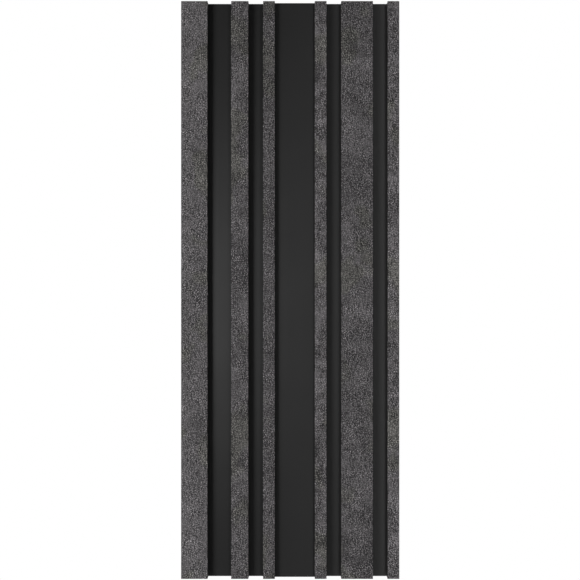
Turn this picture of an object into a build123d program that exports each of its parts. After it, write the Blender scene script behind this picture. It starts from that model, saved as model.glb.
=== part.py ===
"""Slatted polymer wall panel: one black extruded section with slats of unequal width,
and a strip of stone-look decor film wrapped over the face of each slat.

Millimetres. X runs across the panel, +Y points into the wall and +Z runs up the slats.
The origin is the middle of the back face, which is glued to the wall.
"""

import math
import os
from itertools import accumulate

from build123d import *

# Overall
PANEL_LENGTH = 315.0
PANEL_WIDTH = 119.0
BASE_THICKNESS = 6.0  # wall face to the floor of the narrow grooves
SLAT_HEIGHT = 10.0  # floor of the narrow grooves to the film's face
FIELD_RISE = 2.9  # the broad field in the middle stands this far above the other floors

# Widths across the panel; the middle field takes what the slats and grooves leave
LEFT_SLAT = 14.4
SECOND_SLAT = 9.4
NARROW_SLAT = 6.4
BROAD_SLAT = 17.3
LEFT_GROOVE = 12.9
NARROW_GROOVE = 8.0

# Decor film
FILM_THICKNESS = 0.15
FILM_RETURN = 0.6  # straight part of the film down each side, below the rounded arris
CORE_ARRIS_RADIUS = 0.1  # arris of the section under the film

# Extruded edges; the roots, where a slat's side meets a floor, are sharp
BACK_EDGE_RADIUS = 0.6  # the two long edges against the wall

# Channels in the back that key the adhesive
CHANNEL_WIDTH = 5.0
CHANNEL_DEPTH = 0.8
CHANNEL_PITCH = 14.0
CHANNEL_SIDE_ANGLE = 60.0
CHANNEL_EDGE_LAND = 5.0  # least flat land between the last channel and the panel's edge

# The pattern from left to right, seen from the front
SLATS = [LEFT_SLAT, SECOND_SLAT, NARROW_SLAT, NARROW_SLAT, BROAD_SLAT, NARROW_SLAT]
LEFT_GROOVES = [LEFT_GROOVE, NARROW_GROOVE]
RIGHT_GROOVES = [NARROW_GROOVE, NARROW_GROOVE]
MIDDLE_FIELD = PANEL_WIDTH - sum(SLATS + LEFT_GROOVES + RIGHT_GROOVES)
GROOVES = [*LEFT_GROOVES, MIDDLE_FIELD, *RIGHT_GROOVES]
FIELD_INDEX = len(LEFT_GROOVES)

FLOOR_Y = -BASE_THICKNESS
FIELD_Y = FLOOR_Y - FIELD_RISE
FACE_Y = FLOOR_Y - SLAT_HEIGHT
FILM_ARRIS_RADIUS = CORE_ARRIS_RADIUS + FILM_THICKNESS
LEDGE_Y = FACE_Y + FILM_ARRIS_RADIUS + FILM_RETURN  # the film's edges end on this ledge


def spans():
    """Left and right edges of each slat and of each groove, measured from the middle."""
    steps = [width for pair in zip(SLATS, GROOVES + [0.0]) for width in pair]
    edges = [edge - PANEL_WIDTH / 2 for edge in accumulate(steps, initial=0.0)]
    pairs = list(zip(edges, edges[1:]))
    return pairs[0::2], pairs[1:-1:2]


def block(left, right, front, back):
    """Rectangle of the section between two places across and two places in depth."""
    centre = Location(((left + right) / 2, (front + back) / 2))
    return centre * Rectangle(right - left, back - front)


def rounded(shape, depth, radius):
    """The shape with its corners at one depth rounded."""
    corners = [v for v in shape.vertices() if math.isclose(v.Y, depth, abs_tol=1e-6)]
    return fillet(corners, radius)


def slat_core(left, right):
    """Top of one slat under its film: narrower by the film on each side."""
    top = FACE_Y + FILM_THICKNESS
    core = block(left + FILM_THICKNESS, right - FILM_THICKNESS, top, LEDGE_Y)
    return rounded(core, top, CORE_ARRIS_RADIUS)


def film_section(left, right):
    """Film over the face, round both arrises and a little way down the sides."""
    outside = rounded(block(left, right, FACE_Y, LEDGE_Y), FACE_Y, FILM_ARRIS_RADIUS)
    return outside - slat_core(left, right)


def glue_channels():
    """Shallow trapezoid channels in the back, in pairs about a land on the middle line."""
    room = PANEL_WIDTH / 2 - CHANNEL_EDGE_LAND - CHANNEL_WIDTH / 2
    pairs = math.floor(room / CHANNEL_PITCH + 0.5)
    profile = Trapezoid(CHANNEL_WIDTH, CHANNEL_DEPTH, CHANNEL_SIDE_ANGLE)
    mouth_on_wall = Rot(0, 0, 180) * Pos(0, CHANNEL_DEPTH / 2) * profile
    places = [(i + 0.5) * CHANNEL_PITCH for i in range(pairs)]
    return [Pos(side * x) * mouth_on_wall for x in places for side in (-1, 1)]


def body_section(slats, grooves):
    """Whole black section: base, raised middle field, slats, and channels in the back."""
    base = block(-PANEL_WIDTH / 2, PANEL_WIDTH / 2, FLOOR_Y, 0)
    section = rounded(base, 0, BACK_EDGE_RADIUS)
    section += block(*grooves[FIELD_INDEX], FIELD_Y, FLOOR_Y)
    section += [block(left, right, LEDGE_Y, FLOOR_Y) for left, right in slats]
    section += [slat_core(left, right) for left, right in slats]
    return section - glue_channels()


def full_length(section):
    """The section drawn out along the slats, half to each side of the middle."""
    return extrude(section, PANEL_LENGTH / 2, dir=(0, 0, 1), both=True)


def main():
    slats, grooves = spans()
    parts = {"panel_body": full_length(body_section(slats, grooves))}
    for number, (left, right) in enumerate(slats, start=1):
        parts[f"slat_film_{number}"] = full_length(film_section(left, right))

    os.makedirs("parts", exist_ok=True)
    for name, part in parts.items():
        part.label = name
        export_step(part, f"parts/{name}.step")
    print(f"panel {PANEL_WIDTH:.1f} wide, {-FACE_Y:.1f} thick, {PANEL_LENGTH:.1f} long")


main()
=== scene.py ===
"""Looks of a slatted polymer wall panel: satin black extrusion, stone-look film on each slat.

Metres. X runs across the panel, +Y points into the wall and +Z runs up the slats.
"""
import math

import bpy
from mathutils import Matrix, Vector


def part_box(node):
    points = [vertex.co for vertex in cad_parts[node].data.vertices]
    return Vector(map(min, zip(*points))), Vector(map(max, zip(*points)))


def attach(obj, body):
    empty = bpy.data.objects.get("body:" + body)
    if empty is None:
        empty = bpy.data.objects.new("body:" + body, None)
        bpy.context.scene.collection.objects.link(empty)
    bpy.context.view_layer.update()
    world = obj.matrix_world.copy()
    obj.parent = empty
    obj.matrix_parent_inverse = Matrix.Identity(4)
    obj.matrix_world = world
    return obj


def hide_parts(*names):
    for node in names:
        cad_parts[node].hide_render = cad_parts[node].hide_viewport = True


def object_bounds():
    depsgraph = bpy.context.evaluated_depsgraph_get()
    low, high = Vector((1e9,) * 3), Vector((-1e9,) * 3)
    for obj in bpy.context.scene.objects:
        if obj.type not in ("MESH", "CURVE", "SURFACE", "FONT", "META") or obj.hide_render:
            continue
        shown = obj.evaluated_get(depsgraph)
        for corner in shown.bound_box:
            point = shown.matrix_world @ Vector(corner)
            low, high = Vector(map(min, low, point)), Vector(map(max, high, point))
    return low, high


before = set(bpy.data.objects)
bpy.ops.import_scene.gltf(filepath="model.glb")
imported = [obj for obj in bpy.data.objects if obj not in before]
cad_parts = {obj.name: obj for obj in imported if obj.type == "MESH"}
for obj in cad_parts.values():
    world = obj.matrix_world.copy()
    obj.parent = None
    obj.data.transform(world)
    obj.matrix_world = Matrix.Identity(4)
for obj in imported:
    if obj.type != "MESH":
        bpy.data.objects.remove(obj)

CAD_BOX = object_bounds()
MM = 0.001
MICRON = 0.001 * MM
WHITE = (1.0, 1.0, 1.0, 1.0)

# Film strips: the same thickness and outer arris as the solids that they stand for
FILM_THICKNESS = 0.15 * MM
FILM_ARRIS = 0.25 * MM
ARRIS_STEPS = 6
CROSS_ROWS = 211
EDGE_WAVER = 0.14 * MM  # the trimmed edge stops short of its ledge by up to this much
WAVER_LENGTH = 9 * MM
SMOOTH_ANGLE = math.radians(40)

# Print of each strip from left to right: tone about an even grey, how patchy, how crisp
FILM_PRINTS = {
    "slat_film_1": (1.09, 0.9, 0.88),
    "slat_film_2": (0.91, 1.5, 0.93),
    "slat_film_3": (0.78, 1.2, 1.03),
    "slat_film_4": (1.13, 2.3, 0.78),
    "slat_film_5": (0.92, 1.3, 0.90),
    "slat_film_6": (1.18, 1.5, 0.96),
}
STONE_GREY = 0.067
DARKEST_GRAIN = 0.008
PLUM_TINT = (1.06, 1.0, 1.035, 1.0)
OLIVE_TINT = (1.035, 1.0, 0.945, 1.0)
OLIVE_EDGE = (0.06, 0.13)  # the tint turns from plum to olive between these values

# Size of each layer of the print, from single grains to slow drift. The face lies a whole
# number of grains from the wall, so it cuts them where they are crispest.
GRAIN = 0.5 * MM
GRAIN_LENGTH = 0.64 * MM
STROKE = 0.7 * MM
STROKE_LENGTH = 3 * MM
MOTTLE = 3 * MM
PATCH = 7 * MM
BLOTCH = 9 * MM
OLIVE_PATCH = 23 * MM
DRIFT = 36 * MM
OFF_AXIS = (0.0, 0.6, 0.0)  # turn about the depth axis, so that grains form no columns

# Strength of each layer of the print
PRINT_BASE = 0.74
GRAIN_CONTRAST = 7.2
GRAIN_SPARKLE = 20.0
STROKE_CONTRAST = 2.2
EVEN_SHARPNESS = 0.83
PATCH_SHARPNESS = 1.8
PATCH_DARKENING = 0.3
SLOW_CONTRAST = 0.75
DRIFT_SHARE = 0.8

# Surface of the film
EMBOSS = 0.1 * MM
STROKE_EMBOSS = 0.4
FILM_ROUGHNESS = 0.78
MOTTLE_ROUGHNESS = 0.25
FILM_SPECULAR = 0.2

# Extruded polymer: greys and gloss
POLYMER_BLACK = 0.0098
BACK_GREY = 0.014
BACK_CLOUDING = 2.0
BACK_STREAKING = 4.0
POLYMER_SPECULAR = 0.176
POLYMER_ANISOTROPY = 0.2
SKIN_ROUGHNESS = 0.26
SKIN_UNEVENNESS = 0.03
BACK_DULLING = 0.36  # added roughness of the back and of the two outer edges
SLAT_SIDE_DULLING = 0.64  # added roughness of the slats' sides
SIDEWAYS = 0.5  # a face counts as a side where its normal leans this far along X
SKIN = 0.03 * MM  # a face counts as sawn, back or outer edge within this distance
CHANNEL_DEPTH = 0.8 * MM

# Extruded polymer: marks of the die on its skin
DIE_LINE = 0.7 * MM
DIE_LINE_RUN = 160 * MM
DIE_LINE_DEPTH = 3 * MICRON
BACK_LINE_GAIN = 6.0
CLOUD = 22 * MM

# Extruded polymer: sawn ends
SAWN_GREY = 0.04
SAWN_ROUGHNESS = 0.8
SAW_MARK = 1.3 * MM
SAW_MARK_LENGTH = 40 * MM
SAW_MARK_CONTRAST = 1.4
SAW_MARK_ROUGHNESS = 0.2
SAW_MARK_DEPTH = 60 * MICRON
FOAM_CELL = 0.55 * MM
PORE_EDGE = (0.18, 0.45)  # from a cell's middle, in cells
# painted shade: the sawn face's colour is darkened inside each foam pore, where shade falls
PORE_PAINTED_SHADE = 0.7
PORE_DEPTH = 90 * MICRON
RELIEF_STRENGTH = 0.7

# Camera: straight in front, with the photograph's perspective
FACE_TO_CAMERA = 0.9916
CAMERA_ACROSS = -0.12 * MM
FOCAL_PIXELS = 1819.0
FRAME_PIXELS = 580
SENSOR_MM = 36.0

# Soft boxes, parallel to the panel: edges across and in height, distance in front of its back
KEY_BOX = {"across": (-0.544, -0.266), "height": (-0.075, 0.045), "front": 1.02, "radiance": 94.5}
FILL_BOX = {"across": (0.094, 0.172), "height": (-0.393, 0.393), "front": 0.78, "radiance": 5.1}
BACK_BOX = {"across": (-1.1, -0.3), "height": (0.2, 1.2), "front": -1.5, "radiance": 11.0}

# Side box on the right, square to the others and behind the panel's back plane
SIDE_BOX = {"out": 1.3, "height": (-0.3, 0.7), "behind": (0.05, 0.55), "radiance": 7.0}

# Studio surround
DIM_SURROUND = 0.02
OVERHEAD = 0.5
OVERHEAD_EDGE = (0.6, 0.85)  # steepness of the directions where the overhead light starts
MIRRORED_DEPTH = 0.3  # gloss shows the white surround from this far behind the panel

# Floor
FLOOR_DROP = 0.45
FLOOR_REACH = 2.4
FLOOR_SIDES = 64
FLOOR_RIM = (0.2 * FLOOR_REACH, 0.75 * FLOOR_REACH)  # fades to white between these distances
FLOOR_PALE = 0.82
FLOOR_MOTTLE = 0.05
FLOOR_UNEVENNESS = 0.03


class Signal:
    """One output socket of a node; arithmetic on it adds Math nodes to its tree."""

    def __init__(self, bench, socket):
        self.bench = bench
        self.socket = socket

    def other(self, name):
        """Another output of the same node."""
        return Signal(self.bench, pick(self.socket.node.outputs, name))

    def maths(self, operation, *values):
        return self.bench.node("ShaderNodeMath", {"operation": operation}, dict(enumerate(values)))

    def __add__(self, value):
        return self.maths("ADD", self, value)

    def __radd__(self, value):
        return self.maths("ADD", value, self)

    def __sub__(self, value):
        return self.maths("SUBTRACT", self, value)

    def __rsub__(self, value):
        return self.maths("SUBTRACT", value, self)

    def __mul__(self, value):
        return self.maths("MULTIPLY", self, value)

    def __rmul__(self, value):
        return self.maths("MULTIPLY", value, self)

    def __gt__(self, value):
        return self.maths("GREATER_THAN", self, value)

    def __abs__(self):
        return self.maths("ABSOLUTE", self)

    def most(self, value):
        return self.maths("MAXIMUM", self, value)


def pick(sockets, key):
    """A socket by its index, or the first one in use with that name."""
    if isinstance(key, int):
        return sockets[key]
    return next(s for s in sockets if s.enabled and s.name == key)


class Bench:
    """A node tree being built: a material's, the world's or a geometry tree."""

    def __init__(self, tree):
        self.tree = tree
        tree.nodes.clear()

    def node(self, kind, settings=None, inputs=None, output=None):
        """Adds a node, sets it up, then fills or links its sockets; gives one output."""
        node = self.tree.nodes.new(kind)
        for name, value in (settings or {}).items():
            if name == "items":
                while len(node.index_switch_items) < value:
                    node.index_switch_items.new()
            else:
                setattr(node, name, value)
        for name, value in (inputs or {}).items():
            socket = pick(node.inputs, name)
            if isinstance(value, Signal):
                self.tree.links.new(value.socket, socket)
            else:
                socket.default_value = value
        outputs = [s for s in node.outputs if s.enabled]
        if outputs:
            return Signal(self, outputs[0] if output is None else pick(node.outputs, output))

    def axes(self, vector):
        """A vector's X; its Y and Z are the node's other outputs."""
        return self.node("ShaderNodeSeparateXYZ", inputs={"Vector": vector})

    def ramp(self, value, low, high):
        """Smooth step from 0 at low to 1 at high."""
        ends = {"Value": value, "From Min": low, "From Max": high}
        return self.node("ShaderNodeMapRange", {"interpolation_type": "SMOOTHSTEP"}, ends)

    def cloud(self, place, size, detail=2.0):
        """Soft random value about zero, with features of the given size."""
        sockets = {"Vector": place, "Scale": 1 / size, "Detail": detail}
        return self.node("ShaderNodeTexNoise", inputs=sockets) - 0.5

    def streaks(self, place, sizes, detail=2.0):
        """Soft random value about zero, with features of the given size along each axis."""
        scale = [1 / size for size in sizes]
        sockets = {"Vector": place, "Scale": scale, "Rotation": OFF_AXIS}
        return self.cloud(self.node("ShaderNodeMapping", inputs=sockets), 1.0, detail)

    def mixed(self, share, first, second):
        """Blend of two numbers by a share from 0 to 1."""
        return self.node("ShaderNodeMix", inputs={"Factor": share, "A": first, "B": second})

    def grey(self, value):
        """Colour with the same value in each channel."""
        channels = {"Red": value, "Green": value, "Blue": value}
        return self.node("ShaderNodeCombineColor", inputs=channels)

    def relief(self, height, strength=1.0):
        """Normal that follows a height in metres."""
        sockets = {"Height": height, "Distance": 1.0, "Strength": strength}
        return self.node("ShaderNodeBump", inputs=sockets)

    def shows_white(self, depth):
        """1 where the white surround shows: to the camera, and in gloss behind the panel."""
        ray = self.node("ShaderNodeLightPath")
        mirrored = ray.other("Is Glossy Ray").most(ray.other("Is Transmission Ray"))
        return ray.other("Is Camera Ray").most(mirrored * self.ramp(depth, 0.0, MIRRORED_DEPTH))


def new_material(name):
    material = bpy.data.materials.new(name)
    material.use_nodes = True
    return material, Bench(material.node_tree)


def dress(bench, sockets):
    """Ends a material in one shader with these sockets."""
    shader = bench.node("ShaderNodeBsdfPrincipled", inputs=sockets)
    bench.node("ShaderNodeOutputMaterial", inputs={"Surface": shader})


def stone_film(name, tone, patchy, crisp):
    """Matt printed film: fine grey grain, sharp in some patches and soft in others."""
    material, bench = new_material(name)
    place = bench.node("ShaderNodeTexCoord", output="Object")
    fine = bench.streaks(place, (GRAIN, GRAIN, GRAIN_LENGTH), detail=0.0)
    grain = GRAIN_CONTRAST * fine + GRAIN_SPARKLE * fine * fine
    stroke = bench.streaks(place, (STROKE, STROKE, STROKE_LENGTH), detail=0.0)
    mottle = bench.cloud(place, MOTTLE)
    patch = bench.cloud(place, PATCH)
    blotch = bench.cloud(place, BLOTCH)
    drift = bench.cloud(place, DRIFT)

    sharp = crisp * (EVEN_SHARPNESS + PATCH_SHARPNESS * patch)
    marks = sharp * (grain + STROKE_CONTRAST * stroke)
    slow = mottle + blotch + DRIFT_SHARE * drift
    print_tone = PRINT_BASE + marks - PATCH_DARKENING * patch + SLOW_CONTRAST * patchy * slow
    level = (STONE_GREY * tone * print_tone).most(DARKEST_GRAIN)
    olive = bench.ramp(bench.cloud(place, OLIVE_PATCH), *OLIVE_EDGE)
    tint = bench.node("ShaderNodeMix", {"data_type": "RGBA"},
                      {"Factor": olive, "A": PLUM_TINT, "B": OLIVE_TINT})
    colour = bench.node("ShaderNodeMix", {"data_type": "RGBA", "blend_type": "MULTIPLY"},
                        {"Factor": 1.0, "A": bench.grey(level), "B": tint})

    dress(bench, {
        "Base Color": colour,
        "Roughness": FILM_ROUGHNESS + MOTTLE_ROUGHNESS * mottle,
        "Normal": bench.relief(EMBOSS * (fine + STROKE_EMBOSS * stroke)),
        "Specular IOR Level": FILM_SPECULAR,
    })
    return material


def black_polymer():
    """Satin black extrusion with faint die lines, foamed where sawn with painted shade in its pores,
    duller at sides and back.
    """
    material, bench = new_material("black_polymer")
    place = bench.node("ShaderNodeTexCoord", output="Object")
    across = bench.axes(place)
    facing = bench.axes(bench.node("ShaderNodeTexCoord", output="Normal"))
    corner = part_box("panel_body")[1]
    sawn = abs(across.other("Z")) > corner[2] - SKIN
    behind = (across.other("Y") > -CHANNEL_DEPTH - SKIN) * (1 - sawn)
    outer = (abs(across) > corner[0] - SKIN) * (1 - sawn)
    slat_side = (abs(facing) > SIDEWAYS) * (1 - outer)

    lines = bench.streaks(place, (DIE_LINE, DIE_LINE, DIE_LINE_RUN))
    cloudy = bench.cloud(place, CLOUD)
    cell = bench.node("ShaderNodeTexVoronoi", inputs={"Vector": place, "Scale": 1 / FOAM_CELL})
    pores = 1 - bench.ramp(cell, *PORE_EDGE)
    marks = bench.streaks(place, (SAW_MARK_LENGTH, SAW_MARK, SAW_MARK))

    back_tone = 1 + BACK_CLOUDING * cloudy + BACK_STREAKING * lines
    skin_grey = POLYMER_BLACK + behind * (BACK_GREY - POLYMER_BLACK) * back_tone
    # painted shade: the sawn grey is darkened inside the pores
    sawn_grey = SAWN_GREY * (1 + SAW_MARK_CONTRAST * marks - PORE_PAINTED_SHADE * pores)
    level = bench.mixed(sawn, skin_grey, sawn_grey)

    dulling = (BACK_DULLING * behind.most(outer)).most(SLAT_SIDE_DULLING * slat_side)
    skin_rough = SKIN_ROUGHNESS + SKIN_UNEVENNESS * lines + SKIN_UNEVENNESS * cloudy + dulling
    rough = bench.mixed(sawn, skin_rough, SAWN_ROUGHNESS + SAW_MARK_ROUGHNESS * marks)

    skin_relief = lines * DIE_LINE_DEPTH * (1 + BACK_LINE_GAIN * behind)
    sawn_relief = marks * SAW_MARK_DEPTH - pores * PORE_DEPTH
    dress(bench, {
        "Base Color": bench.grey(level),
        "Roughness": rough,
        "Normal": bench.relief(bench.mixed(sawn, skin_relief, sawn_relief), RELIEF_STRENGTH),
        "Specular IOR Level": POLYMER_SPECULAR,
        "Anisotropic": POLYMER_ANISOTROPY,
    })
    return material


def pale_floor():
    """Pale floor that fades into the white surround at its rim."""
    material, bench = new_material("pale_floor")
    place = bench.node("ShaderNodeTexCoord", output="Object")
    radius = bench.node("ShaderNodeVectorMath", {"operation": "LENGTH"}, {0: place}, "Value")
    level = FLOOR_PALE + FLOOR_UNEVENNESS * bench.cloud(place, FLOOR_MOTTLE)
    paint = bench.node("ShaderNodeBsdfDiffuse", inputs={"Color": bench.grey(level)})
    white = bench.node("ShaderNodeEmission", inputs={"Color": WHITE, "Strength": 1.0})
    share = bench.shows_white(bench.axes(place).other("Y")) * bench.ramp(radius, *FLOOR_RIM)
    both = bench.node("ShaderNodeMixShader", inputs={0: share, 1: paint, 2: white})
    bench.node("ShaderNodeOutputMaterial", inputs={"Surface": both})
    return material


def film_strip_tree():
    """Geometry tree: the film's closed section drawn out along a slat, with a trimmed edge."""
    tree = bpy.data.node_groups.new("film_strip", "GeometryNodeTree")
    bench = Bench(tree)
    sizes = ["Left", "Right", "Face", "Ledge", "Low End", "High End", "Thickness", "Arris", "Waver"]
    for size in sizes:
        tree.interface.new_socket(size, in_out="INPUT", socket_type="NodeSocketFloat")
    tree.interface.new_socket("Finish", in_out="INPUT", socket_type="NodeSocketMaterial")
    tree.interface.new_socket("Strip", in_out="OUTPUT", socket_type="NodeSocketGeometry")
    given = bench.node("NodeGroupInput")
    left, right, face, ledge, low, high, thickness, arris, waver = [given.other(s) for s in sizes]

    def point(x, y, z=0.0):
        return bench.node("ShaderNodeCombineXYZ", inputs={"X": x, "Y": y, "Z": z})

    core_left, core_right, core_face = left + thickness, right - thickness, face + thickness
    core_arris = arris - thickness
    corners = [
        (left, ledge, 0.0), (left, face, arris), (right, face, arris), (right, ledge, 0.0),
        (core_right, ledge, 0.0), (core_right, core_face, core_arris),
        (core_left, core_face, core_arris), (core_left, ledge, 0.0),
    ]
    index = bench.node("GeometryNodeInputIndex")

    def by_corner(data_type, values):
        settings = {"data_type": data_type, "items": len(values)}
        sockets = {"Index": index, **{str(i): value for i, value in enumerate(values)}}
        return bench.node("GeometryNodeIndexSwitch", settings, sockets)

    outline = by_corner("VECTOR", [point(x, y) for x, y, radius in corners])
    points = bench.node("GeometryNodePoints", inputs={"Count": len(corners), "Position": outline})
    section = bench.node("GeometryNodePointsToCurves", inputs={"Points": points})
    section = bench.node("GeometryNodeSetSplineCyclic", inputs={"Geometry": section, "Cyclic": True})
    radii = by_corner("FLOAT", [radius for x, y, radius in corners])
    section = bench.node("GeometryNodeFilletCurve", {"mode": "POLY"},
                         {"Curve": section, "Count": ARRIS_STEPS, "Radius": radii})

    run = bench.node("GeometryNodeCurvePrimitiveLine",
                     inputs={"Start": point(0, 0, low), "End": point(0, 0, high)})
    run = bench.node("GeometryNodeResampleCurve", inputs={"Curve": run, "Count": CROSS_ROWS})
    strip = bench.node("GeometryNodeCurveToMesh",
                       inputs={"Curve": run, "Profile Curve": section, "Fill Caps": True})

    place = bench.node("GeometryNodeInputPosition")
    uneven = bench.cloud(place, WAVER_LENGTH) + 0.5
    strip = bench.node("GeometryNodeSetPosition", inputs={
        "Geometry": strip,
        "Selection": bench.axes(place).other("Y") > ledge - SKIN,
        "Offset": point(0, -1 * waver * uneven),
    })

    fold = bench.node("GeometryNodeInputMeshEdgeAngle")
    strip = bench.node("GeometryNodeSetShadeSmooth", {"domain": "EDGE"},
                       {"Geometry": strip, "Selection": fold > SMOOTH_ANGLE, "Shade Smooth": False})
    strip = bench.node("GeometryNodeRealizeInstances", inputs={"Geometry": strip})
    strip = bench.node("GeometryNodeSetMaterial",
                       inputs={"Geometry": strip, "Material": given.other("Finish")})
    bench.node("NodeGroupOutput", inputs={"Strip": strip})
    return tree


def film_strip(tree, node, film_print):
    """One film strip in the place of its solid, as a plain mesh."""
    low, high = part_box(node)
    sizes = {
        "Left": low[0], "Right": high[0], "Face": low[1], "Ledge": high[1], "Low End": low[2],
        "High End": high[2], "Thickness": FILM_THICKNESS, "Arris": FILM_ARRIS, "Waver": EDGE_WAVER,
        "Finish": stone_film(f"stone_film_{node[-1]}", *film_print),
    }
    name = f"decor_strip_{node[-1]}"
    piece = bpy.data.objects.new(name, bpy.data.meshes.new(name))
    bpy.context.collection.objects.link(piece)
    maker = piece.modifiers.new("film_strip", "NODES")
    maker.node_group = tree
    for socket in tree.interface.items_tree:
        if socket.in_out == "INPUT":
            maker[socket.identifier] = sizes[socket.name]
    made = piece.evaluated_get(bpy.context.evaluated_depsgraph_get())
    mesh = bpy.data.meshes.new_from_object(made)
    piece.modifiers.clear()
    piece.data = mesh
    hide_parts(node)
    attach(piece, "root")


def lamp(name, place, turn, width, tall, radiance):
    """Flat rectangular lamp of even radiance that the camera doesn't see."""
    light = bpy.data.lights.new(name, "AREA")
    light.shape = "RECTANGLE"
    light.size, light.size_y = width, tall
    light.energy = math.pi * radiance * width * tall
    box = bpy.data.objects.new(name, light)
    bpy.context.collection.objects.link(box)
    box.location = place
    box.rotation_euler = turn
    box.visible_camera = False


def soft_box(name, across, height, front, radiance):
    """Lamp in front of the panel and facing it, or behind it where front is negative."""
    place = (sum(across) / 2, -front, sum(height) / 2)
    turn = (math.copysign(math.pi / 2, front), 0, 0)
    lamp(name, place, turn, across[1] - across[0], height[1] - height[0], radiance)


def side_box(name, out, height, behind, radiance):
    """Lamp beside the panel, where it can light only the edge and the back."""
    place = (out, sum(behind) / 2, sum(height) / 2)
    turn = (math.pi / 2, 0, math.pi / 2)
    lamp(name, place, turn, behind[1] - behind[0], height[1] - height[0], radiance)


def studio():
    """Surround that is white to look at, dim in front and brighter overhead as light."""
    world = bpy.data.worlds.new("studio")
    world.use_nodes = True
    bpy.context.scene.world = world
    bench = Bench(world.node_tree)
    way = bench.axes(bench.node("ShaderNodeTexCoord", output="Generated"))
    strength = DIM_SURROUND + OVERHEAD * bench.ramp(abs(way.other("Z")), *OVERHEAD_EDGE)
    light = bench.node("ShaderNodeBackground", inputs={"Color": WHITE, "Strength": strength})
    white = bench.node("ShaderNodeBackground", inputs={"Color": WHITE, "Strength": 1.0})
    share = bench.shows_white(way.other("Y"))
    both = bench.node("ShaderNodeMixShader", inputs={0: share, 1: light, 2: white})
    bench.node("ShaderNodeOutputWorld", inputs={"Surface": both})


def floor():
    """Round pale floor, well below the panel, which hangs on a wall."""
    mesh = bpy.data.meshes.new("floor")
    turns = [2 * math.pi * i / FLOOR_SIDES for i in range(FLOOR_SIDES)]
    rim = [(FLOOR_REACH * math.cos(turn), FLOOR_REACH * math.sin(turn), 0.0) for turn in turns]
    mesh.from_pydata(rim, [], [range(len(rim))])
    mesh.materials.append(pale_floor())
    plate = bpy.data.objects.new("floor", mesh)
    bpy.context.collection.objects.link(plate)
    plate.location.z = CAD_BOX[0][2] - FLOOR_DROP


def camera():
    """Camera level with the panel's middle, looking straight at its face."""
    data = bpy.data.cameras.new("front")
    data.sensor_width = SENSOR_MM
    data.lens = SENSOR_MM * FOCAL_PIXELS / FRAME_PIXELS
    view = bpy.data.objects.new("front", data)
    bpy.context.collection.objects.link(view)
    view.location = (CAMERA_ACROSS, CAD_BOX[0][1] - FACE_TO_CAMERA, 0)
    view.rotation_euler = (math.pi / 2, 0, 0)
    bpy.context.scene.camera = view


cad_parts["panel_body"].material_slots[0].material = black_polymer()
strip_tree = film_strip_tree()
for film, film_print in FILM_PRINTS.items():
    film_strip(strip_tree, film, film_print)

soft_box("key_box", **KEY_BOX)
soft_box("fill_box", **FILL_BOX)
soft_box("back_box", **BACK_BOX)
side_box("side_box", **SIDE_BOX)
studio()
floor()
camera()
bpy.context.scene.view_settings.view_transform = "Standard"
